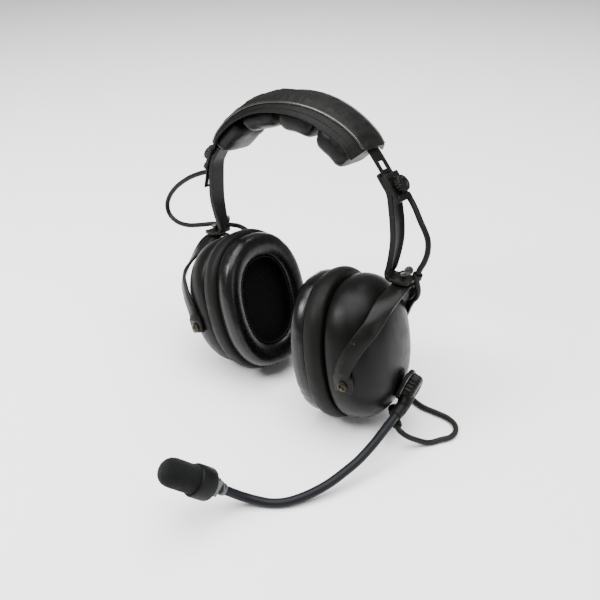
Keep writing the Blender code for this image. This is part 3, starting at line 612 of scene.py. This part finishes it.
def make_cover():
    rings = []
    count = 141
    for k in range(count):
        share = -1 + 2 * k / (count - 1)
        angle = cover_angle(share)
        ring = []
        for hand in (-1, 1):
            crown, _, outer, inner = cover_half(share, hand)
            line = []
            for y, r in spline2(outer, 26):
                ridge = ease(crown - y, -0.5, 6.0)
                fold = 0.55 * wobble((angle * 16, hand * y * 0.045, 0), 1.0, 1) * ridge
                fold += 0.6 * max(0.0, wobble((angle * 34, hand * y * 0.10, 3), 1.0, 2)) * (0.3 + ridge)
                line.append(band_point(angle, COVER_R + r + fold - 0.25, hand * y))
            back = [band_point(angle, COVER_R + r, hand * y) for y, r in inner]
            if hand < 0:
                ring += back[::-1] + line[::-1]
            else:
                ring += line[1:] + back[:-1]
        rings.append(ring)
    cover = add("cover", loft_into(bmesh.new(), rings), LEATHER, HEADSET, "headband",
                ("headband_cover",), sharp=50)

    stitches = bmesh.new()
    for label, hand in (("front", -1), ("rear", 1)):
        welt, bead = [], []
        for k in range(90):
            share = -0.985 + 1.97 * k / 89
            crown, hem, outer, _ = cover_half(share, hand)
            angle = cover_angle(share)
            welt.append(band_point(angle, COVER_R + outer[4][1] + 0.65, hand * (crown - 0.1)))
            bead.append(band_point(angle, COVER_R + outer[-1][1] - 0.1, hand * (hem - 0.2)))
        tube("cover_welt_" + label, welt, 0.85, WELT, HEADSET, "headband", sides=10)
        tube("cover_hem_" + label, bead, 0.8, LEATHER, HEADSET, "headband", sides=10)
        for k in range(52):
            share = -0.955 + 1.91 * k / 51
            outer = cover_half(share, hand)[2]
            angle = cover_angle(share)
            across = Vector(outer[6]).lerp(Vector(outer[5]), 0.35)
            ends = [band_point(angle + turn * 0.95 / BAND_R, COVER_R + across.y - 0.05, hand * (across.x + 0.1))
                    for turn in (-1, 0, 1)]
            tube_into(stitches, spline(ends, 4), 0.28, 6)
    add("cover_stitches", stitches, THREAD, HEADSET, "headband", sharp=80)


def make_pads():
    pitch = 2 * COVER_HALF_ANGLE / 4
    for k in range(4):
        middle = COVER_SHIFT - COVER_HALF_ANGLE + pitch * (k + 0.5)
        half = pitch * 0.425
        rings = []
        for end, inset in ((-1, 3.6), (-0.92, 1.6), (-0.78, 0.7), (-0.4, 0.5), (0, 0.5), (0.4, 0.5),
                           (0.78, 0.7), (0.92, 1.6), (1, 3.6)):
            angle = middle + half * end
            low = PAD_TOP_R - PAD_T - PAD_EXTRA[k] + inset + 0.8
            wide = PAD_HALF_W - 0.8 - inset * 0.6
            top = PAD_TOP_R - 0.6
            section = ((-wide + 5.0, top), (wide - 5.0, top), (wide, top - 6.0), (wide, low + 4.5),
                       (wide - 4.5, low), (-wide + 4.5, low), (-wide, low + 4.5), (-wide, top - 6.0))
            rings.append([band_point(angle, r, y) for y, r in section])
        pad = add("crown_cushion_%d" % (k + 1), loft_into(bmesh.new(), rings), PAD_VINYL, HEADSET)
        puff(pad, pressure=5.0, voxel=2.6, cap=2.2)
        subdivide(pad)
        for v in pad.data.vertices:
            v.co += v.normal * (0.00035 * wobble(v.co, 130.0, k + 3))
        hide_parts("crown_pad_%d" % (k + 1))
        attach(pad, "headband")


# ---------------------------------------------------------------- sides

STRAP_START = band_point(BAND_HALF_ANGLE, BAND_R, 0)
STRAP_ALONG = Vector((math.cos(BAND_HALF_ANGLE), 0, -math.sin(BAND_HALF_ANGLE)))
STRAP_OUT = Vector((math.sin(BAND_HALF_ANGLE), 0, math.cos(BAND_HALF_ANGLE)))


def fluted(rings, radius, lobes, depth, steps):
    """Rings of a knob: each is (height, scale, flute share)."""
    made = []
    for height, scale, share in rings:
        ring = []
        for k in range(steps):
            a = 2 * math.pi * k / steps
            r = radius * scale * (1.0 - depth * share * (0.5 - 0.5 * math.cos(lobes * a)) ** 2)
            ring.append((r * math.cos(a), r * math.sin(a), height))
        made.append(ring)
    return made


def make_clamp(name, spot, place):
    centre = STRAP_START + STRAP_ALONG * spot["travel"]
    frame_here = aim((0, 0, 0), STRAP_ALONG, hint=(0, 1, 0))
    out = 1 if (frame_here.to_3x3() @ Vector((1, 0, 0))).dot(STRAP_OUT) > 0 else -1
    at = Matrix.Translation(centre) @ frame_here
    body = "arm_" + name
    bm = bmesh.new()
    box_into(bm, (1.2, 14.2, 19.4), (out * 1.55, 0, 0))
    for z in (-7.9, 7.9):
        box_into(bm, (2.2, 14.0, 4.0), (out * 2.1, 0, z))
    for y in (-6.95, 6.95):
        box_into(bm, (2.6, 1.1, 19.6), (out * 0.5, y, 0))
    clamp = add("strap_clamp_" + name, bm, PAINT, place @ at, body, ("clamp_" + name,))
    bevel(clamp, 0.35)

    hub = Matrix.Translation(centre) @ aim(STRAP_OUT * 2.2, STRAP_OUT, hint=(0, 1, 0))
    rings = fluted(((0.1, 0.5, 0), (0.8, 0.5, 0), (0.85, 0.86, 1), (1.1, 0.97, 1), (1.7, 1.0, 1), (4.3, 1.0, 1),
                    (4.9, 0.96, 0.8), (5.3, 0.88, 0.3), (5.35, 0.60, 0), (4.8, 0.50, 0), (4.7, 0.04, 0)),
                   5.7, 14, 0.13, 84)
    add("clamp_thumb_knob_" + name, loft_into(bmesh.new(), rings), PAINT, place @ hub, "clamp_knob_" + name,
        ("clamp_knob_" + name,), sharp=45)


def make_arm(name, spot, place):
    centre = STRAP_START + STRAP_ALONG * spot["travel"]
    at = Matrix.Translation(centre) @ Matrix.Rotation(-spot["splay"], 4, "Y")
    line = spline([(x, 0, z) for x, z, _ in ARM_PROFILE], 96)
    widths = spline([(k, 0, w) for k, (_, _, w) in enumerate(ARM_PROFILE)], 400)
    arc = [0.0]
    marks = [Vector((x, 0, z)) for x, z, _ in ARM_PROFILE]
    for a, b in zip(marks, marks[1:]):
        arc.append(arc[-1] + (b - a).length)
    last = len(line) - 1
    rings = []
    for k, p in enumerate(line):
        share = k / last
        travelled = share * arc[-1]
        i = max(j for j in range(len(arc)) if arc[j] <= travelled + 1e-6)
        t = 0 if i == len(arc) - 1 else (travelled - arc[i]) / (arc[i + 1] - arc[i])
        wide = min(widths, key=lambda q: abs(q.x - (i + t))).z
        tangent = (line[min(k + 1, last)] - line[max(k - 1, 0)]).normalized()
        out = tangent.cross(Vector((0, 1, 0))).normalized()
        lip = 1.5 * min(max((0.80 - share) / 0.05, 0.0), 1.0) * min(max((share - 0.06) / 0.05, 0.0), 1.0)
        h, t2 = wide / 2, ARM_T / 2
        section = ((-h, -t2), (-h, t2 + lip - 0.3), (-h + 0.5, t2 + lip), (-h + 1.2, t2 + lip - 0.1),
                   (-h + 1.9, t2 - 0.25), (-h + 3.0, t2 - 0.5), (h - 3.0, t2 - 0.5), (h - 1.9, t2 - 0.25),
                   (h - 1.2, t2 + lip - 0.1), (h - 0.5, t2 + lip), (h, t2 + lip - 0.3), (h, -t2))
        rings.append([p + out * n + Vector((0, y, 0)) for y, n in section])
    arm = add("side_arm_" + name, loft_into(bmesh.new(), rings), PAINT, place @ at, "arm_" + name,
              ("arm_" + name,), sharp=50)
    bevel(arm, 0.3, 2, 50)
    return at @ aim(SWIVEL, SWIVEL_AXIS, hint=(0, 1, 0))


def leg_normal(share, up, shoulder, foot):
    """The way that a yoke leg's flat faces, turning from the hub through its shoulder to its foot."""
    if share < 0.12:
        return up.copy()
    if share < 0.45:
        return up.lerp(shoulder, (share - 0.12) / 0.33).normalized()
    return shoulder.lerp(foot, min((share - 0.45) / 0.4, 1.0)).normalized()


def make_yoke(name, place, tab, level):
    hub = tab @ Vector((0, 0, -HUB_DROP))
    up = (tab.to_3x3() @ Vector((0, 0, 1))).normalized()
    across = level.to_3x3() @ Vector((0, 1, 0))
    legs = []
    count = 64
    for hand in (-1, 1):
        crown, *lower = (level @ Vector((x, hand * (PIVOT[1] + y), z)) for x, y, z in YOKE_LEG)
        near_hub = hub + Vector((0.5, hand * 9.0, -2.0))
        shoulder = near_hub.lerp(crown, 0.5) + up * 2.4
        route = [hub, near_hub, shoulder, crown, *lower]
        path = spline(route, count)
        leg = []
        for k, p in enumerate(path):
            share = k / (count - 1)
            tangent = (path[min(k + 1, count - 1)] - path[max(k - 1, 0)]).normalized()
            normal = leg_normal(share, up, Vector((0.75, hand * 0.62, 0.35)), across * hand)
            if k == 0:
                tangent, normal = Vector((0, hand, 0)), up.copy()
            normal = (normal - tangent * normal.dot(tangent)).normalized()
            wide = YOKE_W * (1.0 - 0.22 * share) / 2
            ear = min(max((share - 0.865) / 0.02, 0.0), 1.0) * min(max((1.0 - share) / 0.012, 0.55), 1.0)
            wide *= 1.0 + 0.34 * ear
            side = tangent.cross(normal).normalized() * hand
            t, c = YOKE_T / 2, 0.45
            section = ((-wide, -t + c), (-wide + c, -t), (wide - c, -t), (wide, -t + c), (wide, t - c),
                       (wide - c, t), (-wide + c, t), (-wide, t - c))
            leg.append([p + side * a + normal * n for a, n in section])
        legs.append(leg)
    rings = legs[0][::-1] + legs[1][1:]
    yoke = add("cup_yoke_" + name, loft_into(bmesh.new(), rings), PAINT, place, "yoke_" + name,
               ("yoke_" + name,), sharp=50)
    bevel(yoke, 0.18, 2, 50)
    turned("yoke_screw_" + name,
           ((0, 3.5), (1.0, 3.5), (1.15, 4.25), (1.8, 4.2), (2.5, 3.7), (2.8, 2.9), (2.8, 1.9), (1.7, 1.8),
            (1.7, -5.4), (0, -5.4)), 32, STEEL, place @ tab, "yoke_" + name,
           ("swivel_screw_" + name,))


# ---------------------------------------------------------------- ear cups

def oval_rings(profile, half):
    return [[(x, y * s, z * s) for y, z in (oval_point(a, half) for a in ROUND)] for x, s in profile]


def ring_into(bm, section, outer, hole, bulge=None):
    """Adds a ring between two ovals: its section lists (share from hole to outer, X)."""
    rings = []
    for a in ROUND:
        oy, oz = oval_point(a, outer)
        hy, hz = oval_point(a, hole)
        ring = []
        for t, x in section:
            p = Vector((x, hy + (oy - hy) * t, hz + (oz - hz) * t))
            ring.append(p + bulge(p, a, t) if bulge else p)
        rings.append(ring)
    return loft_into(bm, rings, closed=True)


def make_cup(name, place, cup_frame, level):
    at = place @ cup_frame
    body = "cup_" + name
    profile = spline2(DOME_OUTSIDE, 40) + spline2(DOME_INSIDE, 14)
    add("cup_shell_" + name, loft_into(bmesh.new(), oval_rings(profile, DOME_HALF)), SHELL, at, body,
        ("dome_" + name,), sharp=55)
    section = spline2(((0.0, -6.0), (0.4, -6.0), (0.74, -6.0)), 4) + spline2(
        ((0.80, -5.9), (0.93, -4.7), (1.0, -0.5), (0.985, 3.0), (0.90, 6.2), (0.80, 7.3)), 18)
    section += [(0.72, 7.6), (0.4, 7.6), (0.0, 7.6)]
    bm = ring_into(bmesh.new(), section, FLANGE_HALF, FLANGE_HOLE)
    add("cup_flange_" + name, bm, RIM, at, body, ("flange_" + name,), sharp=50)

    seed = 5 if name == "near" else 9

    def creases(p, a, t):
        soft = min(max((-p.x - 8.0) / 6.0, 0.0), 1.0)
        ripple = 0.32 * wobble(p, 0.07, seed) + 0.16 * wobble(p, 0.19, seed + 1)
        pleat = 0.0
        for where, depth, width in SEAL_PLEATS[name]:
            gap = math.atan2(math.sin(a - where), math.cos(a - where)) / width
            pleat -= depth * math.exp(-gap * gap)
        outward = Vector((-0.35, p.y / 60.0, p.z / 60.0))
        return outward * ((ripple + pleat * max(0.0, t - 0.4) / 0.6) * soft)

    section = [(0.955, -6.5)] + spline2(((0.975, -7.4), (1.0, -9.5), (1.0, -13.0), (0.93, -16.8), (0.80, -19.0),
                                         (0.62, -19.75), (0.44, -19.6), (0.24, -18.6), (0.08, -16.8),
                                         (0.015, -14.4)), 34) + [(0.0, -10.5), (0.0, -6.5)]
    bm = ring_into(bmesh.new(), section, SEAL_HALF, SEAL_HOLE, creases)
    seal = add("seal_" + name, bm, SEAL_VINYL, at, body, ("ear_seal_" + name,), sharp=60)
    for label, x, half, shrink in (("inner", -14.9, SEAL_HOLE, 0.35), ("outer", -7.4, SEAL_HALF, 0.6)):
        rings = []
        for a in ROUND:
            p = Vector((x, *oval_point(a, (half[0] - shrink, half[1] - shrink))))
            radial = Vector((0, p.y, p.z)).normalized()
            rings.append([p + radial * (0.5 * math.cos(b)) + Vector((0.5 * math.sin(b), 0, 0))
                          for b in (2 * math.pi * j / 8 for j in range(8))])
        bm = loft_into(bmesh.new(), rings, closed=True)
        add("seal_seam_%s_%s" % (label, name), bm, PAD_VINYL, at, body, sharp=80)

    rings = []
    for x, s in spline2(((-1.4, 0.97), (-2.6, 1.0), (-4.4, 0.985), (-5.2, 0.93), (-5.7, 0.8), (-6.2, 0.5),
                         (-6.4, 0.2), (-6.4, 0.03)), 26):
        rings.append([(x - 0.5 * wobble((0, y * s, z * s), 0.12, 8) * min(1, 1.2 - s), y * s, z * s)
                      for y, z in (oval_point(a, (28.4, 38.4)) for a in ROUND)])
    foam = add("ear_liner_" + name, loft_into(bmesh.new(), rings), LINER, at, body,
               ("liner_foam_" + name,), sharp=60)

    for label, hand in (("front", -1), ("rear", 1)):
        way = place @ level @ Matrix.Rotation(math.radians(-90 * hand), 4, "X")
        y = PIVOT[1]
        turned("pivot_bolt_%s_%s" % (label, name),
               ((0, y + 4.0), (1.5, y + 4.0), (1.8, y + 4.5), (2.2, y + 5.0), (2.9, y + 4.9), (3.5, y + 4.5),
                (3.6, y + 4.1), (3.6, y + 3.6), (1.7, y + 3.5), (1.7, y + 0.6), (0, y + 0.6)), 32, BRASS, way,
               body, ("pivot_screw_%s_%s" % (label, name),))


# ---------------------------------------------------------------- cables

def make_cables(name, place):
    route = LOOP_ROUTES[name]
    start, tail = list(route["loop"]), list(route["tail"])
    join = (Vector(start[-1]) + Vector(tail[0])) / 2
    tube("earphone_cable_" + name, spline(start[:-1] + [join], 90), CABLE_R, RUBBER, place, "arm_" + name,
         ("cable_loop_" + name,), sides=16)
    whole = spline([join] + tail[1:], 41)
    first, second = whole[:21], whole[20:]
    for path, a, b, label in ((first, "arm_" + name, "yoke_" + name, "upper"),
                              (second, "yoke_" + name, "cup_" + name, "lower")):
        bm = tube_into(bmesh.new(), path, CABLE_R, 16)
        piece = add("cable_tail_%s_%s" % (label, name), bm, RUBBER, place,
                    replaces=("cable_tail_" + name,), sharp=60)
        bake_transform(piece)

    end, before = Vector(route["loop"][-2]), Vector(route["loop"][-3])
    ring = aim(end.lerp(before, 0.05), end - before, hint=(0, 1, 0))
    bm = turn_into(bmesh.new(), ((2.45, 2.0), (3.0, 2.0), (3.3, 1.7), (3.3, -1.7), (3.0, -2.0), (2.45, -2.0)),
                   32)
    add("p_clip_" + name, bm, PAINT, place @ ring, "arm_" + name,
        ("cable_clip_" + name,))
    face = aim(route["screw"], (0.35, -1.0, 0.25))
    turned("p_clip_screw_" + name,
           ((0, 1.1), (0.8, 1.1), (0.95, 1.6), (1.6, 1.5), (1.8, 1.0), (2.6, 0.85), (2.8, 0.5), (2.8, -1.4),
            (2.5, -1.6), (0, -1.6)), 32, STEEL, place @ face, "arm_" + name,
           ("clip_screw_" + name,))


# ---------------------------------------------------------------- boom and microphone

def make_boom(place, cup_frame):
    axis = Vector((math.cos(BOOM_TILT), 0, -math.sin(BOOM_TILT)))
    hub = cup_frame @ aim(BOOM_PIVOT, axis, hint=(0, 1, 0))
    turned("boom_seat", ((0, 3.4), (10.8, 3.4), (11.3, 3.2), (11.6, 2.7), (11.6, 1.2), (11.2, 0.6), (10.4, 0.4),
                         (0, 0.4)), 64, RIM, place @ hub, "cup_near", ("boom_boss",))
    bm = turn_into(bmesh.new(), ((10.5, 3.3), (10.5, 3.75), (11.0, 3.8), (11.25, 3.55), (11.25, 3.3)), 64)
    add("boom_seat_ring", bm, STEEL, place @ hub, "cup_near")
    rings = fluted(((3.85, 0.93, 1), (4.2, 0.99, 1), (4.6, 1.0, 1), (7.6, 1.0, 1), (8.8, 0.985, 0.9),
                    (9.9, 0.94, 0.6), (10.8, 0.86, 0.3), (11.3, 0.74, 0), (11.5, 0.60, 0), (11.4, 0.45, 0),
                    (11.0, 0.38, 0), (10.8, 0.04, 0)), BOOM_KNOB_R, 20, 0.075, 160)
    add("boom_lock_knob", loft_into(bmesh.new(), rings), SHELL, place @ hub, "boom",
        ("boom_knob",), sharp=45)

    first, second = Vector(BOOM_ROUTE[0]), Vector(BOOM_ROUTE[1])
    back = (first - second).normalized()
    socket = first + back * 1.5
    toward = hub.inverted() @ socket
    root = hub @ Vector((toward.x * 0.45, toward.y * 0.45, 7.0))
    tube("boom_neck", spline((root, root.lerp(socket, 0.5) + back * 0.6, socket, first - back * 0.5), 20),
         lambda t: 5.6 - 1.2 * t, SHELL, place, "boom", sides=32)
    ferrule = aim(first, second - first, hint=(1, 0, 0))
    bm = turn_into(bmesh.new(), ((3.15, 9.0), (3.6, 9.1), (4.1, 8.7), (4.25, 7.8), (4.6, 3.0), (4.75, 2.6),
                                 (4.75, 1.6), (4.6, 1.2), (4.6, -0.4), (4.2, -1.0), (0.5, -1.0), (0.5, 0.7),
                                 (3.15, 0.7)), 40)
    add("boom_end_sleeve", bm, RUBBER, place @ ferrule, "boom", ("boom_ferrule",))
    begin = first + (second - first).normalized()
    path = spline([begin] + [Vector(p) for p in BOOM_ROUTE[1:]], 150)
    tube("boom_tube", path, BOOM_R, SHEATH, place, "boom", ("boom_gooseneck",), sides=28)

    end, along = Vector(BOOM_ROUTE[-1]), Vector(MIC_ALONG).normalized()
    head = place @ aim(end, along, hint=(0, 0, 1))
    turned("mic_ferrule", ((0, 4.2), (3.4, 4.2), (3.9, 3.8), (4.0, 3.4), (4.0, 1.5), (3.7, 1.05), (0, 1.0)),
           40, GREY_METAL, head, "boom", ("boom_socket",))
    bm = bmesh.new()
    box_into(bm, (5.6, 10.5, 6.6), (0, 0, 9.1))
    for y in (-5.4, 5.4):
        turn_into(bm, ((0, 0.6), (1.7, 0.5), (1.9, 0.2), (1.9, -0.6), (0, -0.6)), 20,
                  Matrix.Translation(Vector((0, y, 9.0))) @ Matrix.Rotation(math.radians(90), 4, "X"))
    bracket = add("mic_yoke", bm, GREY_METAL, head, "microphone", ("mic_bracket",))
    bevel(bracket, 0.9, 3, 50)
    profile = [(0, 49.0), (1.2, 49.0), (2.4, 48.9), (4.2, 48.6), (5.9, 47.9), (7.2, 46.6), (8.1, 44.8),
               (8.6, 42.6)]
    profile += [(8.8, 40.5 - 1.5 * k) for k in range(18)]
    profile += [(8.6, 13.6), (8.0, 13.2), (6.4, 13.2), (6.4, 38.6), (0, 38.6)]
    bm = turn_into(bmesh.new(), profile, 72)
    for v in bm.verts:
        if Vector((v.co.x, v.co.y)).length > 6.5 or v.co.z > 46:
            v.co += (v.co - Vector((0, 0, 28))).normalized() * 0.22 * wobble(v.co, 0.25, 4)
    foam = add("mic_windsock", bm, WINDSCREEN, head, "microphone", ("mic_windscreen",), sharp=70)
    bm = turn_into(bmesh.new(), ((9.1, 26.0), (9.6, 26.1), (10.0, 25.7), (10.3, 24.6), (10.35, 19.0),
                                 (10.3, 14.9), (10.0, 14.0), (9.6, 13.6), (9.1, 13.5)), 56)
    add("mic_band", bm, COLLAR, head, "microphone", ("mic_collar",))


# ---------------------------------------------------------------- lead

def on_table(x, y, height):
    """The point of the headset frame that is this high above the table."""
    row = STANCE[2]
    return Vector((x, y, (height - row[0] * x - row[1] * y - STANCE_SHIFT[2]) / row[2]))


def coil_path():
    """Turns about the coil's centre: four columns inward on the table, then four outward on top of them."""
    radii = [COIL_MID_R + COIL_PITCH * (1.5 - k) for k in range(4)]
    low, high = CORD_R + 0.2, 3 * CORD_R + 0.25
    points = []
    for k in range(4 * COIL_STEPS):
        turn, here = divmod(k, COIL_STEPS)
        following = radii[min(turn + 1, 3)]
        r = radii[turn] + (following - radii[turn]) * ease(here, 30, 40)
        z = low + (high - low) * (ease(here, 22, 30) if turn == 3 else 0)
        points.append((r, z, k))
    for k in range(3 * COIL_STEPS + COIL_STEPS // 4 + 1):
        turn, here = divmod(k, COIL_STEPS)
        following = radii[max(2 - turn, 0)]
        r = radii[3 - turn] + (following - radii[3 - turn]) * ease(here, 11, 20)
        points.append((r, high, k))
    turn_angle = 2 * math.pi / COIL_STEPS
    return [Vector((r * math.cos(k * turn_angle), r * math.sin(k * turn_angle), z)) for r, z, k in points]


def make_lead(place, cup_frame):
    start, end = cup_frame @ Vector(GLAND_FOOT), Vector(GLAND_END)
    along = (end - start).normalized()
    length = (end - start).length
    profile = [(0, length), (2.7, length), (3.3, length - 0.5), (3.4, length - 1.0), (3.4, length - 3.0),
               (3.1, length - 3.5), (2.6, length - 4.0)]
    for k in range(5):
        z = length - 4.6 - k * (length - 7.5) / 5
        r = 2.75 + 0.26 * k
        profile += [(r, z), (r + 0.35, z - 0.35), (r + 0.35, z - 1.35), (r, z - 1.7)]
    profile += [(4.2, 1.3), (4.3, 0.6), (4.3, 0.0), (0, 0.0)]
    turned("lead_strain_relief", profile, 40, RUBBER, place @ aim(start, along), "cup_near",
           ("lead_gland",))

    centre = on_table(*COIL_CENTRE, 0.2)
    level = Matrix.Translation(centre) @ STANCE.inverted()
    coil = [level @ p for p in coil_path()]
    route = [end + along * 0.1, end + along * 2.0, *(Vector(p) for p in CORD_FALL)]
    route += [on_table(x, y, CORD_R + 0.4) for x, y in CORD_ROUTE[:-1]]
    route.append(level @ Vector((*COIL_ENTRY, CORD_R + 0.2)))
    lane = COIL_MID_R + 1.5 * COIL_PITCH
    to_plug = ((-6.0, lane - 0.3, 6.5), (-13.0, lane, 7.4), (-21.9, *PLUG_SPOT[1:]))
    ends = [level @ Vector(p) for p in to_plug]
    flown = spline(route, 48)
    path = spline(flown[:-1] + coil[1:] + ends, 560)
    bm = tube_into(bmesh.new(), path, CORD_R, 12)
    cord = add("lead", bm, CORD, place, "cup_near", ("lead_cord", "lead_coil"), sharp=60)

    lying = place @ level @ Matrix.Translation(Vector(PLUG_SPOT)) @ Matrix.Rotation(math.radians(-90), 4, "Y")
    profile = [(0, 6.0), (6.8, 6.0), (7.3, 5.6), (7.6, 4.8)]
    for k in range(7):
        z = 3.4 - k * 2.3
        profile += [(7.6, z), (7.1, z - 0.3), (7.1, z - 0.9), (7.6, z - 1.2)]
    profile += [(7.4, -14.6), (6.6, -17.0), (5.0, -18.6), (4.4, -19.4), (4.0, -24.0), (3.7, -28.4),
                (3.3, -29.0), (0, -29.0)]
    sleeve = turned("plug_grip", profile, 48, RUBBER, lying, "cup_near", ("plug_sleeve",))
    pin = turned("plug_contact", ((0, 36.0), (0.9, 35.8), (1.8, 35.0), (2.9, 33.2), (3.2, 32.4), (2.6, 30.2),
                                  (3.1, 29.2), (3.5, 28.5), (3.5, 20.2), (3.3, 20.0), (3.3, 19.2), (3.5, 19.0),
                                  (3.5, 9.0), (5.2, 8.8), (5.4, 8.4), (5.4, 6.4), (0, 6.4)), 40, STEEL, lying,
                 "cup_near", ("plug_pin",))


make_camera()
make_stage()

FRAMES = {name: cup_matrix(spot) for name, spot in CUPS.items()}
LEVEL = {}
for name, spot in CUPS.items():
    pivot = FRAMES[name] @ Vector((PIVOT[0], 0, PIVOT[2]))
    LEVEL[name] = (Matrix.Translation(pivot) @ Matrix.Rotation(math.radians(spot["yaw"]), 4, "Z")
                   @ Matrix.Rotation(math.radians(spot["yoke_roll"]), 4, "Y"))

CARRIED = {"baffle": RIM, "driver": GREY_METAL, "damping_foam": LINER, "terminal_board": BOARD,
           "interconnect_lead": RUBBER, "mic_capsule": SHELL}
for node_name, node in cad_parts.items():
    for start, finish in CARRIED.items():
        if node_name.startswith(start):
            node.data.materials.clear()
            node.data.materials.append(finish)

make_strap()
make_cover()
make_pads()
for name, spot in CUPS.items():
    place = SIDES[name]
    make_clamp(name, spot, place)
    tab = make_arm(name, spot, place)
    make_yoke(name, place, tab, LEVEL[name])
    make_cup(name, place, FRAMES[name], LEVEL[name])
    make_cables(name, place)
make_boom(SIDES["near"], FRAMES["near"])
make_lead(SIDES["near"], FRAMES["near"])

bpy.context.view_layer.update()
